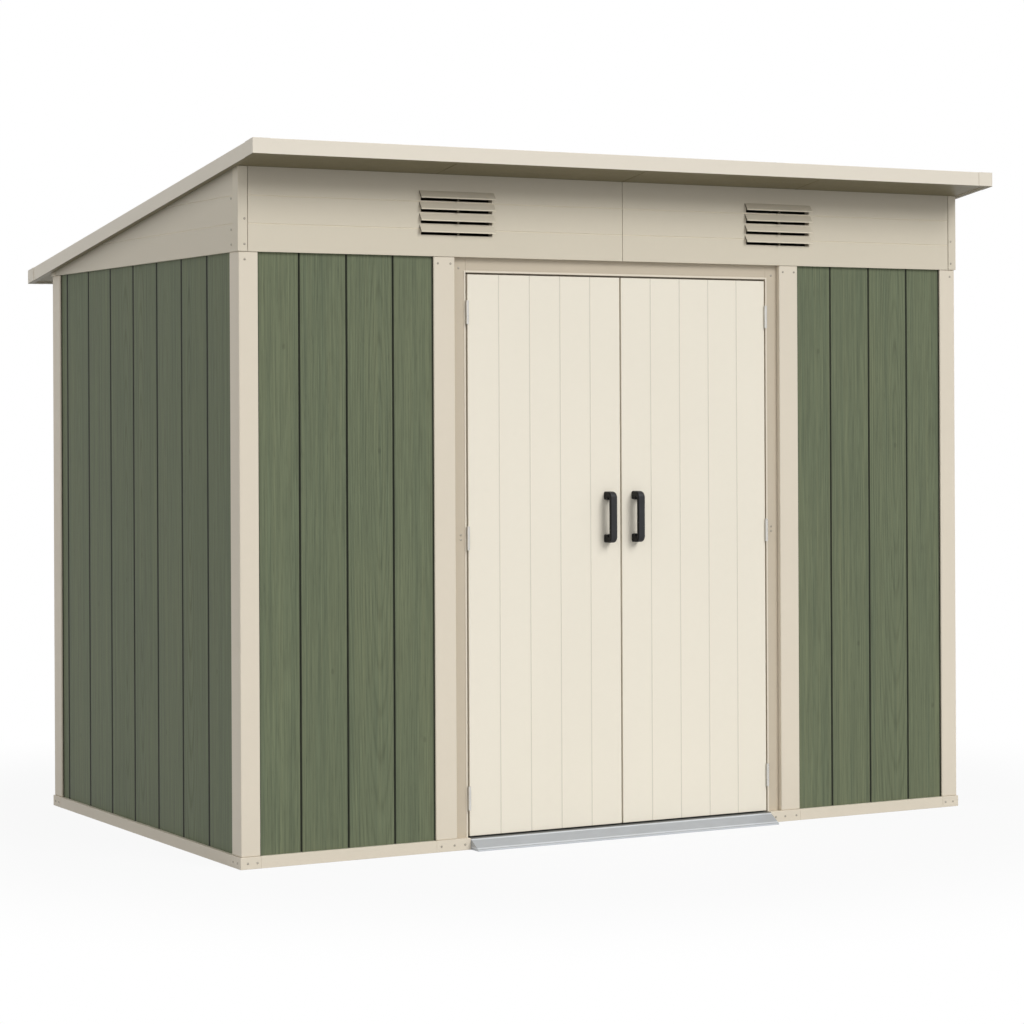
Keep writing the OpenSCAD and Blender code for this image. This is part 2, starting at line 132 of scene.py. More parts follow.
class ShedStage(PropertyGroup):
    """Camera, lights and floor."""

    focal: FloatProperty(name="Lens", description="Focal length", unit="CAMERA", default=98.44)
    eye: FloatVectorProperty(
        name="Eye", description="Place of the camera", subtype="TRANSLATION", unit="LENGTH",
        default=(-4.7731, -8.6982, 1.3775),
    )
    heading: FloatProperty(
        name="Heading", description="Turn from the shed's depth towards its right",
        subtype="ANGLE", default=math.radians(29.09),
    )
    pitch: FloatProperty(
        name="Pitch", description="Tilt upwards", subtype="ANGLE", default=math.radians(0.06)
    )
    roll: FloatProperty(
        name="Roll", description="Turn about the view", subtype="ANGLE", default=math.radians(-0.27)
    )
    shift: FloatVectorProperty(
        name="Shift", description="Lens shift", size=2, default=(-0.00536, -0.09604)
    )
    key: FloatProperty(name="Key", description="Strength of the key light", min=0, default=1.8)
    key_angle: FloatProperty(
        name="Key softness", description="Width of the key light", subtype="ANGLE",
        default=math.radians(30),
    )
    key_from: FloatVectorProperty(
        name="Key from", description="Where the key light comes from", subtype="DIRECTION",
        default=(0.36, -1.0, 0.74),
    )
    fill: FloatProperty(
        name="Fill", description="Strength of the light on the left", min=0, default=0.35
    )
    fill_angle: FloatProperty(
        name="Fill softness", description="Width of the light on the left", subtype="ANGLE",
        default=math.radians(70),
    )
    fill_from: FloatVectorProperty(
        name="Fill from", description="Where the light on the left comes from", subtype="DIRECTION",
        default=(-1.0, -0.5, 0.45),
    )
    sky: FloatProperty(name="Sky", description="Strength of the soft light all round", default=0.5)
    floor_radius: FloatProperty(
        name="Floor", description="Radius of the floor", unit="LENGTH", default=60.0
    )
    floor_tone: FloatProperty(
        name="Floor tone", description="How much light the floor returns", default=0.55
    )
    floor_glow: FloatProperty(
        name="Floor glow", description="How far the floor is white by the shed", default=0.92
    )
    clear_from: FloatProperty(
        name="Clear from", description="Where the floor starts to turn white", unit="LENGTH", default=1.7
    )
    clear_to: FloatProperty(
        name="Clear to", description="Where the floor is all white", unit="LENGTH", default=3.0
    )


# ---- Meshes ----

def place(name, points, faces, body, material, smooth=True):
    """Makes one piece from an array of points and an array of faces, and seats it on its body."""
    mesh = bpy.data.meshes.new(name)
    mesh.from_pydata(np.asarray(points).tolist(), [], np.asarray(faces).tolist())
    mesh.polygons.foreach_set("use_smooth", np.full(len(mesh.polygons), smooth))
    mesh.materials.append(material)
    mesh.update()
    piece = bpy.data.objects.new(name, mesh)
    bpy.context.scene.collection.objects.link(piece)
    if body:
        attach(piece, body)
    return piece


def grid_faces(rows, columns, wrap=True):
    """Quads of a grid: each joins (r, c), (r, c + 1), (r + 1, c + 1) and (r + 1, c), c wrapping round."""
    r, c = np.meshgrid(np.arange(rows - 1), np.arange(columns if wrap else columns - 1), indexing="ij")
    d = (c + 1) % columns
    return np.stack(
        [r * columns + c, r * columns + d, (r + 1) * columns + d, (r + 1) * columns + c], axis=-1
    ).reshape(-1, 4)


def tube_faces(rows, columns):
    """Quads of a grid that wraps round, with its two end rings closed.

    An end ring of n points is closed by the quads (i, i + 1, n - 2 - i, n - 1 - i).
    """
    i = np.arange(columns // 2 - 1)
    cap = np.stack([i, i + 1, columns - 2 - i, columns - 1 - i], axis=1)
    return np.concatenate([grid_faces(rows, columns), cap[:, ::-1], cap + (rows - 1) * columns])


def outward(points, faces):
    """Turns a closed shape's quads round if the sum of a . (b x c + c x d) over them is negative."""
    a, b, c, d = (points[faces[:, corner]] for corner in range(4))
    return faces[:, ::-1] if np.sum(a * (np.cross(b, c) + np.cross(c, d))) < 0 else faces


def rounded_ring(half_a, half_b, power, count):
    """A superellipse: (a cos t |cos t|^(2/p-1), b sin t |sin t|^(2/p-1)), between a box and an oval."""
    t = np.linspace(0, 2 * np.pi, count, endpoint=False)
    curl = 2 / power
    across = half_a * np.sign(np.cos(t)) * np.abs(np.cos(t)) ** curl
    along = half_b * np.sign(np.sin(t)) * np.abs(np.sin(t)) ** curl
    return across, along


def many(points, faces, spots, bases=None):
    """Copies a shape to every spot: point = spot + basis @ shape, for all spots at once."""
    if bases is None:
        bases = np.repeat(np.eye(3)[None], len(spots), axis=0)
    moved = spots[:, None, :] + np.einsum("nij,mj->nmi", bases, points)
    steps = np.arange(len(spots))[:, None, None] * len(points)
    return moved.reshape(-1, 3), (faces[None] + steps).reshape(-1, faces.shape[1])


def basis_towards(normals):
    """Turning matrices whose third column is the given direction, one for each row."""
    w = normals / np.linalg.norm(normals, axis=1, keepdims=True)
    helper = np.where(np.abs(w[:, 2:3]) > 0.9, [[1.0, 0.0, 0.0]], [[0.0, 0.0, 1.0]])
    u = np.cross(helper, w)
    u /= np.linalg.norm(u, axis=1, keepdims=True)
    return np.stack([u, np.cross(w, u), w], axis=2)


def pan_head(radius, flange=1.0, rings=10, spokes=24):
    """A screw's head that stands up from z = 0, with a cross recess and a flange round it.

    At radius r and turn t its height is R (0.12 + 0.42 sqrt(1 - (r / R)^2)), less 0.3 R in
    the cross, where |r sin 2t| < 0.17 R and r < 0.62 R.
    """
    share = np.linspace(0.04, 1, rings)[:, None]
    t = np.linspace(0, 2 * np.pi, spokes, endpoint=False)[None]
    cross = (np.abs(share * np.sin(2 * t)) < 0.17) & (share < 0.62)
    height = 0.12 + 0.42 * np.sqrt(1 - share ** 2) - 0.3 * cross
    share = np.concatenate([share, [[flange], [flange]]])
    height = np.concatenate([height, np.full((1, spokes), 0.08), np.full((1, spokes), -0.1)])
    points = radius * np.stack([share * np.cos(t), share * np.sin(t), height], axis=-1).reshape(-1, 3)
    faces = tube_faces(rings + 2, spokes)
    return points, outward(points, faces)


def skin():
    """A search tree of every CAD node's faces."""
    corners, faces = [], []
    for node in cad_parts.values():
        first = len(corners)
        corners += [vertex.co.copy() for vertex in node.data.vertices]
        faces += [[first + corner for corner in face.vertices] for face in node.data.polygons]
    return BVHTree.FromPolygons(corners, faces)


def seats(tree, starts, towards):
    """Where straight lines from the starts first meet the skin, and the directions it faces there."""
    spots, normals = [], []
    for start in starts:
        spot, normal, _, _ = tree.ray_cast(Vector(start), Vector(towards))
        if spot is None:
            raise RuntimeError(f"no surface found from {tuple(start)}")
        spots.append(spot)
        normals.append(-normal if normal.dot(Vector(towards)) > 0 else normal)
    return np.array(spots), np.array(normals)


def soffit_height(tree):
    """Height of the roof's underside as a function of y, from two lines straight up.

    The lines start inside the shed, above the walls' tops and between two rafters.
    """
    between, forward, inside = 0.35, 0.4, 1.9
    starts = [(between, -forward, inside), (between, forward, inside)]
    (_, y, z), (_, far_y, far_z) = seats(tree, starts, (0, 0, 1))[0]
    slope = float((far_z - z) / (far_y - y))
    return lambda at: slope * (at - float(y)) + float(z)


def dress(nodes, material):
    """Gives CAD nodes a finish."""
    for name in nodes:
        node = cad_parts[name]
        node.data.materials.clear()
        node.data.materials.append(material)


def soften(nodes, radius, segments=2):
    """Joins the CAD nodes' loose triangles and rounds their sharp edges, in modifiers."""
    for name in nodes:
        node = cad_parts[name]
        weld = node.modifiers.new("join", "WELD")
        weld.merge_threshold = 0.00002
        flat = node.modifiers.new("flat", "DECIMATE")
        flat.decimate_type = "DISSOLVE"
        flat.angle_limit = math.radians(0.5)
        bevel = node.modifiers.new("edge", "BEVEL")
        bevel.width = radius
        bevel.segments = segments
        bevel.limit_method = "ANGLE"
        bevel.angle_limit = math.radians(40)


# ---- Finishes ----

class Wire:
    """A node's output on which Python arithmetic adds Math nodes."""

    def __init__(self, recipe, socket):
        self.recipe = recipe
        self.socket = socket

    def __add__(self, other):
        return self.recipe.math("ADD", self, other)

    __radd__ = __add__

    def __sub__(self, other):
        return self.recipe.math("SUBTRACT", self, other)

    def __rsub__(self, other):
        return self.recipe.math("SUBTRACT", other, self)

    def __mul__(self, other):
        return self.recipe.math("MULTIPLY", self, other)

    __rmul__ = __mul__

    def __truediv__(self, other):
        return self.recipe.math("DIVIDE", self, other)

    def __pow__(self, other):
        return self.recipe.math("POWER", self, other)

    def __abs__(self):
        return self.recipe.math("ABSOLUTE", self)

    def floor(self):
        """The whole number below."""
        return self.recipe.math("FLOOR", self)

    def sine(self):
        """The sine of a value in radians."""
        return self.recipe.math("SINE", self)

    def most(self, other):
        """The larger of two values."""
        return self.recipe.math("MAXIMUM", self, other)

    def rise(self, low, high):
        """0 below low, 1 above high, and a smooth step between."""
        return self.recipe.node(
            "ShaderNodeMapRange", {"interpolation_type": "SMOOTHSTEP"},
            {"Value": self, "From Min": low, "From Max": high},
        )

    def near(self, centre, reach):
        """1 at a value, falling to 0 at a distance."""
        return 1 - abs(self - centre).rise(0.35 * reach, reach)


class Recipe:
    """The node tree of one finish, round a Principled shader."""

    def __init__(self, name, constants):
        self.material = bpy.data.materials.new(name)
        self.material.use_nodes = True
        self.tree = self.material.node_tree
        self.shader = self.tree.nodes["Principled BSDF"]
        for socket, value in constants.items():
            self.shader.inputs[socket].default_value = value
        self.spot = self.node("ShaderNodeTexCoord", output="Object")
        axes = self.tree.nodes.new("ShaderNodeSeparateXYZ")
        self.feed(axes.inputs[0], self.spot)
        self.x, self.y, self.z = (Wire(self, socket) for socket in axes.outputs)

    def feed(self, socket, value):
        """Links a wire to a socket, or sets a plain value on it."""
        if isinstance(value, Wire):
            self.tree.links.new(value.socket, socket)
        else:
            socket.default_value = value

    def node(self, kind, settings=None, inputs=None, output=0):
        """Adds a node: its settings first, then its sockets' values or links."""
        made = self.tree.nodes.new(kind)
        for name, value in (settings or {}).items():
            setattr(made, name, value)
        for name, value in (inputs or {}).items():
            self.feed(made.inputs[name], value)
        return Wire(self, made.outputs[output])

    def math(self, operation, *values):
        """Adds a Math node."""
        return self.node("ShaderNodeMath", {"operation": operation}, dict(enumerate(values)))

    def vector(self, x, y, z):
        """Joins three values into a vector."""
        return self.node("ShaderNodeCombineXYZ", None, {"X": x, "Y": y, "Z": z})

    def noise(self, scale, detail=2.0, where=None, rough=0.5):
        """Smooth noise about 0, between about -0.5 and 0.5, at so many features to a unit."""
        return self.node(
            "ShaderNodeTexNoise", {"noise_dimensions": "3D"},
            {"Vector": where or self.spot, "Scale": scale, "Detail": detail, "Roughness": rough},
        ) - 0.5

    def mix(self, mask, low, high):
        """A colour between two, by a mask."""
        return self.node(
            "ShaderNodeMix", {"data_type": "RGBA", "clamp_factor": True},
            {0: mask, 6: self.tint(low), 7: self.tint(high)}, output=2,
        )

    def tint(self, value):
        """A colour as a socket takes it."""
        return value if isinstance(value, Wire) else (*value[:3], 1.0)

    def shade(self, colour_wire, amount):
        """A colour times a value, which lightens it above 1 and darkens it below."""
        vector = colour_wire if isinstance(colour_wire, Wire) else tuple(colour_wire)
        sockets = {"Vector": vector, "Scale": amount}
        return self.node("ShaderNodeVectorMath", {"operation": "SCALE"}, sockets)

    def grooves(self, value, first, pitch, half_width, lowest=None, highest=None):
        """1 in narrow grooves at a pitch, counted from the first, and 0 between them."""
        turns = (value - first) / pitch + 0.5
        away = abs(turns - turns.floor() - 0.5) * pitch
        mask = 1 - away.rise(0.4 * half_width, half_width)
        if lowest is not None:
            mask = mask * value.rise(lowest, lowest + half_width)
        if highest is not None:
            mask = mask * (1 - value.rise(highest - half_width, highest))
        return mask

    def finish(self, base, roughness, height, depth):
        """Feeds colour and roughness, and a bump whose height runs from 0 to 1 over a depth in metres."""
        self.feed(self.shader.inputs["Base Color"], base)
        self.feed(self.shader.inputs["Roughness"], roughness)
        bump = self.node("ShaderNodeBump", None, {"Height": height, "Distance": depth, "Strength": 1.0})
        self.feed(self.shader.inputs["Normal"], bump)
        return self.material


def moulded_plastic(name, base, marks=(), roughness=0.45, pebble=0.00012, under=None):
    """Satin moulded plastic: a fine pebble skin, slow drifts of tone, and marks that change it.

    Each mark is a function that takes the recipe and returns a mask, and how much it darkens.
    Under is a second colour and the function that says where it goes.
    """
    r = Recipe(name, {"Specular IOR Level": 0.35})
    tint = r.mix(under[1](r), base, under[0]) if under else base
    drift = r.noise(1.7, 2.0)
    skin = r.noise(620.0, 2.0)
    cloud = r.noise(38.0, 3.0)
    low_dust = 1 - r.z.rise(0.0, 0.25)
    tone = 1 + 0.05 * drift + 0.02 * cloud + 0.03 * skin - 0.035 * low_dust
    for mark, darkness in marks:
        tone = tone * (1 - darkness * mark(r))
    return r.finish(
        r.shade(tint, tone), roughness + 0.12 * cloud + 0.1 * skin, skin + 0.6 * cloud, pebble
    )


def pressed_board(name, base, axis, first, pitch, shaded_edges, groove_half, ring_pitch, depth):
    """Green boards with a pressed grain that runs upright.

    Fibres and streaks are noise drawn out along the board. Each board (number n, a pitch wide)
    has one knot at (c, h), and on some boards the grain arches round it: its lines are where
    sqrt((a - c)^2 + (k (z - h))^2) / ring pitch, bent a little by slow noise, is a whole number.
    """
    r = Recipe(name, {"Specular IOR Level": 0.3})
    across = getattr(r, axis)
    turns = (across - first) / pitch
    board = turns.floor()
    local = (turns - board) * pitch
    lot, lot_2, lot_3 = (
        r.node("ShaderNodeTexWhiteNoise", {"noise_dimensions": "1D"}, {"W": board + seed})
        for seed in (0.37, 7.71, 3.13)
    )

    bend = r.noise(1.0, 2.0, r.vector(across * 5, board * 5.3, r.z * 1.1))
    leaning = across + 0.006 * bend
    fibre = r.noise(1.0, 4.0, r.vector(leaning * 240, board * 9.1, r.z * 4.2), 0.62)
    streak = r.noise(1.0, 2.0, r.vector(leaning * 90, board * 4.3, r.z * 0.9))
    pore = r.noise(1.0, 2.0, r.vector(leaning * 430, board * 1.9, r.z * 17)).rise(0.08, 0.26)
    patch = r.noise(2.2, 2.0)

    sideways = local - (0.3 + 0.4 * lot) * pitch + 0.012 * bend
    height = r.z - 0.15 - 1.55 * lot_2
    arch = sideways * sideways + (height * height) * 0.0034
    phase = arch ** 0.5 / ring_pitch + 0.9 * bend
    late = ((phase * (2 * math.pi)).sine() * 0.5 + 0.5) ** 4 * (0.25 + 0.75 * lot_3.rise(0.45, 0.7))
    knot = 1 - ((sideways * sideways + (height * height) * 0.3) ** 0.5).rise(0.002, 0.0075)

    groove = r.grooves(across, first, pitch, groove_half)
    tone = 1.08 + 1.25 * fibre + 0.55 * streak - 0.15 * late - 0.24 * pore + 0.1 * patch - 0.22 * knot
    tone = (tone + 0.07 * (lot_3 - 0.5)) * (1 - 0.88 * groove)
    # Painted shade along the boards' edges beside the posts.
    for edge in shaded_edges:
        tone = tone * (1 - 0.8 * across.near(edge, 0.007))
    warm = r.mix(0.5 + 1.1 * streak + 0.5 * patch, base, [base[0] * 1.1, base[1] * 0.99, base[2] * 0.92])
    relief = 0.5 * fibre + 0.25 * streak - 0.4 * late - 0.35 * pore - 0.3 * knot
    return r.finish(r.shade(warm, tone), 0.58 + 0.2 * fibre + 0.1 * late, relief, depth)


def brushed_metal(name, base, stretch, roughness=0.34, metallic=1.0, marks=()):
    """Metal with fine scratches drawn out along one axis, soft smears in its gloss, and marks."""
    r = Recipe(name, {"Metallic": metallic})
    line = r.noise(1.0, 3.0, r.vector(r.x * stretch[0], r.y * stretch[1], r.z * stretch[2]), 0.6)
    smear = r.noise(14.0, 2.0)
    tone = 1 + 0.22 * line + 0.1 * smear
    for mark, darkness in marks:
        tone = tone * (1 - darkness * mark(r))
    return r.finish(r.shade(base, tone), roughness + 0.18 * line + 0.14 * smear, line, 0.00006)


def spangled_zinc(name, base):
    """Galvanised sheet: crystal patches that differ a little in tone and gloss."""
    r = Recipe(name, {"Metallic": 0.9})
    flake = r.node(
        "ShaderNodeTexVoronoi", {"feature": "F1"}, {"Vector": r.spot, "Scale": 90.0}, output="Color"
    )
    grey = r.node("ShaderNodeSeparateColor", None, {"Color": flake}) - 0.5
    cloud = r.noise(9.0, 2.0)
    return r.finish(r.shade(base, 0.8 + 0.22 * grey + 0.16 * cloud), 0.42 + 0.2 * grey, grey, 0.00003)


def satin_grip(name, base, side, left, middle):
    """Black moulded plastic with a fine leathery skin, painted shade on its left flank, and a painted sheen
    mid-way up, where it is also glossier.
    """
    r = Recipe(name, {"Specular IOR Level": 0.16})
    leather = r.node("ShaderNodeTexVoronoi", {"feature": "F1"}, {"Vector": r.spot, "Scale": 900.0}) - 0.5
    cloud = r.noise(60.0, 2.0)
    # Painted sheen: lighter mid-way up, where the roughness is also lowered.
    sheen_band = r.z.near(middle, 0.09)
    # Painted shade: the left flank takes the darker side colour.
    tint = r.mix(1 - (r.x - left).rise(0.001, 0.0045), base, side)
    tone = 1 + 0.25 * cloud + 0.1 * leather + 0.12 * sheen_band
    return r.finish(r.shade(tint, tone), 0.42 + 0.12 * cloud - 0.08 * sheen_band, leather, 0.00008)


def tread_floor(name, base):
    """Grey floor plastic with rows of low lozenges, dusty between them."""
    r = Recipe(name, {"Specular IOR Level": 0.3})
    one = ((r.x + r.y) * 190.0).sine()
    two = ((r.x - r.y) * 190.0).sine()
    lozenge = (one * two).rise(0.1, 0.5)
    dust = r.noise(5.0, 3.0)
    skin = r.noise(500.0, 1.0)
    tone = 1 + 0.07 * lozenge + 0.14 * dust + 0.06 * skin
    return r.finish(r.shade(base, tone), 0.55 + 0.15 * dust, lozenge + 0.15 * skin, 0.0008)


# ---- Places ----

def colours():
    """The colours set in the sidebar."""
    return bpy.context.scene.shed_colours


def sizes():
    """The sizes set in the sidebar."""
    return bpy.context.scene.shed_sizes


def middle_of(low, high, axis):
    """Middle between two corners along an axis."""
    return (low[axis] + high[axis]) / 2


class ShedOperator:
    """What every step of the shed has in common."""

    bl_options = {"REGISTER", "UNDO"}


class SHED_OT_walls(ShedOperator, Operator):
    """Gives the wall boards their pressed grain."""

    bl_idname = "shed.walls"
    bl_label = "Walls"

    def execute(self, context):
        tones, size = colours(), sizes()
        front_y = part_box("base_corners")[0][1]
        grain = {"ring_pitch": size.ring_pitch, "depth": size.grain_depth}
        for side, sign in SIDES.items():
            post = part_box(f"door_post_{side}")
            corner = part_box(f"corner_post_front_{side}")
            shaded_edges = (post[0][0], corner[1][0]) if sign < 0 else (post[1][0], corner[0][0])
            finish = pressed_board(
                f"wall_front_{side}", tones.wall, "x", sum(shaded_edges) / 2, size.wall_board, shaded_edges,
                size.groove, **grain
            )
            dress([f"front_wall_{side}"], finish)
        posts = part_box("corner_post_front_left")[1][1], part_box("corner_post_back_left")[0][1]
        finish = pressed_board(
            "wall_side", tones.wall, "y", front_y + size.side_first, size.side_board, posts,
            size.side_groove, **grain
        )
        dress(["left_wall", "right_wall"], finish)
        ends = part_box("corner_post_back_left")[1][0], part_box("corner_post_back_right")[0][0]
        finish = pressed_board(
            "wall_back", tones.wall, "x", 0.0, size.wall_board, ends, size.groove, **grain
        )
        dress(["back_wall_left", "back_wall_right"], finish)
        return {"FINISHED"}


class SHED_OT_trims(ShedOperator, Operator):
    """Finishes the posts, base rails, jambs and header, and rounds their edges."""

    bl_idname = "shed.trims"
    bl_label = "Posts and base"

    def execute(self, context):
        tones, size = colours(), sizes()
        trim = moulded_plastic("trim_plastic", tones.trim)
        posts = [f"corner_post_{end}_{side}" for end in ("front", "back") for side in SIDES]
        posts += [f"door_post_{side}" for side in SIDES]
        base = ["base_rails_front", "base_rail_left", "base_rail_right", "base_rail_back"]
        base += ["base_corners", "door_post_feet"]
        dress(posts + base, trim)
        soften(posts, size.edge, 3)
        soften(base, size.fine_edge)

        lip_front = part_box("door_jambs")[0][1]
        surround = ["door_jambs", "door_header"]
        dress(surround, self.two_tone("jamb_plastic", tones.jamb, tones.lip, lip_front))
        soften(surround, size.fine_edge)
        return {"FINISHED"}

    def two_tone(self, name, base, lip, lip_front):
        """Moulded plastic whose raised lip, the part nearest the front, is lighter."""
        r = Recipe(name, {"Specular IOR Level": 0.35})
        skin = r.noise(620.0, 2.0)
        cloud = r.noise(38.0, 3.0)
        raised = 1 - r.y.rise(lip_front + 0.0012, lip_front + 0.0018)
        tint = r.mix(raised, base, lip)
        tone = 1 + 0.03 * skin + 0.04 * cloud + 0.05 * r.noise(1.7, 2.0)
        return r.finish(r.shade(tint, tone), 0.45 + 0.12 * cloud, skin + 0.6 * cloud, 0.00012)


class SHED_OT_frieze(ShedOperator, Operator):
    """Finishes the frieze, the gables, their corner trims and the back rail."""

    bl_idname = "shed.frieze"
    bl_label = "Frieze and gables"

    def execute(self, context):
        tones, size = colours(), sizes()
        height = soffit_height(skin())
        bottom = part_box("frieze_left")[0][2]
        board = size.frieze_board

        def lines(r):
            """The two level grooves."""
            return r.grooves(r.z, bottom, board, 0.0022, bottom + 0.5 * board, bottom + 2.5 * board)

        def eaves_shade(r):
            """Painted shade of the eaves: darker towards the roof's underside."""
            return 1 - (height(r.y) - r.z).rise(-0.01, 0.095)

        panel = moulded_plastic("frieze_plastic", tones.frieze, [(lines, -0.13), (eaves_shade, 0.24)])
        dress(["frieze_left", "frieze_right", "gable_left", "gable_right"], panel)
        corner = moulded_plastic("frieze_corner_plastic", tones.frieze)
        dress(["frieze_corners", "back_top_rail"], corner)
        soften(["frieze_corners", "back_top_rail"], size.fine_edge)
        return {"FINISHED"}


class SHED_OT_vents(ShedOperator, Operator):
    """Finishes the louvres and sets a small bracket under the middle of each."""

    bl_idname = "shed.vents"
    bl_label = "Vents"

    def execute(self, context):
        tones, pitch = colours(), sizes().louvre_pitch
        bracket = moulded_plastic("bracket_plastic", tones.bracket)
        for side in SIDES:
            node = f"vent_louvres_{side}"
            low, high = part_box(node)
            blade = self.blade(f"louvre_plastic_{side}", tones.frieze, low, pitch)
            dress([node], blade)
            soften([node], 0.0006)
            points, faces = self.brackets(low, high, pitch)
            place(f"vent_brackets_{side}", points, faces, "shed", bracket)
        return {"FINISHED"}

    def blade(self, name, base, low, pitch):
        """Plastic slats a little darker than the frieze, with a painted highlight on the lower lip and
        painted shade on the left cheek.
        """
        def lip(r):
            """Painted highlight along the lower edge of each slat."""
            part = (r.z - low[2]) / pitch
            return 1 - (part - part.floor()).rise(0.08, 0.13)

        def shaded_cheek(r):
            """Painted shade on the left end of each slat."""
            return 1 - (r.x - low[0]).rise(0.0008, 0.002)

        return moulded_plastic(name, [c * 0.9 for c in base], [(lip, -0.25), (shaded_cheek, 0.72)])

    def brackets(self, low, high, pitch):
        """Tapering tabs: a rounded ring carried down, its half sizes shrinking from 1 to 0.6."""
        rows, columns = 6, 20
        half_wide, half_deep, set_back = 0.0045, 0.0040, 0.0062
        top, bottom = 0.004, -0.008
        count = int(round((high[2] - low[2]) / pitch))
        across, along = rounded_ring(half_wide, half_deep, 4.0, columns)
        share = np.linspace(1.0, 0.6, rows)
        points = np.empty((rows, columns, 3))
        points[:, :, 0] = share[:, None] * across
        points[:, :, 1] = share[:, None] * along
        points[:, :, 2] = np.linspace(top, bottom, rows)[:, None]
        points = points.reshape(-1, 3)
        steps = np.arange(count)
        spots = np.stack([
            np.full(count, middle_of(low, high, 0)), np.full(count, low[1] + set_back),
            low[2] + pitch * steps,
        ], axis=1)
        return many(points, outward(points, tube_faces(rows, columns)), spots)


class SHED_OT_roof(ShedOperator, Operator):
    """Finishes the roof panels and the fascia, and sets the roof's screws."""

    bl_idname = "shed.roof"
    bl_label = "Roof"

    def execute(self, context):
        tones, size = colours(), sizes()
        tree = skin()
        low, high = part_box(ROOF_PANELS[0])[0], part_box(ROOF_PANELS[-1])[1]
        height = soffit_height(tree)

        def shaded_underside(r):
            """Painted shade on the panels' sloping underside."""
            return 1 - (r.z - height(r.y)).rise(0.002, 0.004)

        def shaded_fascia_edge(r):
            """Painted shade on the fascia's lower edge, which lies below the panels."""
            return 1 - (r.z - height(r.y)).rise(-0.0032, -0.0024)

        panel = moulded_plastic("roof_plastic", tones.roof, roughness=0.5, under=(tones.soffit_shade, shaded_underside))
        dress(ROOF_PANELS, panel)
        soften(ROOF_PANELS, 0.002)
        board = moulded_plastic("fascia_plastic", tones.fascia, under=(tones.soffit_shade, shaded_fascia_edge))
        nodes = ["fascia_front", "fascia_back", "fascia_left", "fascia_right", "fascia_caps"]
        dress(nodes, board)
        soften(nodes[:4], size.fine_edge)

        starts = [
            (x, low[1] + share * (high[1] - low[1]), high[2] + 1.0)
            for share in (0.06, 0.5, 0.94) for panel in ROOF_PANELS for x in self.ribs(tree, *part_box(panel))
        ]
        spots, normals = seats(tree, starts, (0, 0, -1))
        points, faces = many(*pan_head(size.roof_screw / 2, 1.7), spots, basis_towards(normals))
        zinc = brushed_metal("roof_screw_zinc", tones.screw, (300.0, 300.0, 300.0), 0.4, 0.8)
        place("roof_screws", points, faces, "shed", zinc)
        return {"FINISHED"}

    def ribs(self, tree, low, high):
        """Middles of a panel's raised ribs, found from the heights along one line across it."""
        across = np.linspace(low[0] + 0.002, high[0] - 0.002, 400)
        y = middle_of(low, high, 1)
        heights = seats(tree, [(x, y, high[2] + 1.0) for x in across], (0, 0, -1))[0][:, 2]
        raised = np.concatenate([[False], heights > (heights.min() + heights.max()) / 2, [False]])
        turns = np.flatnonzero(np.diff(raised.astype(int)))
        return (across[turns[::2]] + across[turns[1::2] - 1]) / 2


class SHED_OT_doors(ShedOperator, Operator):
    """Finishes the door leaves and the ledges behind them."""

    bl_idname = "shed.doors"
    bl_label = "Doors"

    def execute(self, context):
        tones, size = colours(), sizes()
        for side in SIDES:
            low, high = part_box(f"door_leaf_{side}")
            board = (high[0] - low[0]) / size.leaf_boards
            finish = moulded_plastic(
                f"door_plastic_{side}", tones.door,
                [(self.lines(low[0], high[0], board), 0.2)], roughness=0.4,
            )
            dress([f"door_leaf_{side}", f"door_ledges_{side}"], finish)
            soften([f"door_leaf_{side}"], 0.0012)
            soften([f"door_ledges_{side}"], 0.003, 3)
        return {"FINISHED"}

    def lines(self, left, right, board):
        """Makes the mask of the upright grooves between a leaf's boards."""
        return lambda r: r.grooves(r.x, left, board, 0.0022, left + board / 2, right - board / 2)


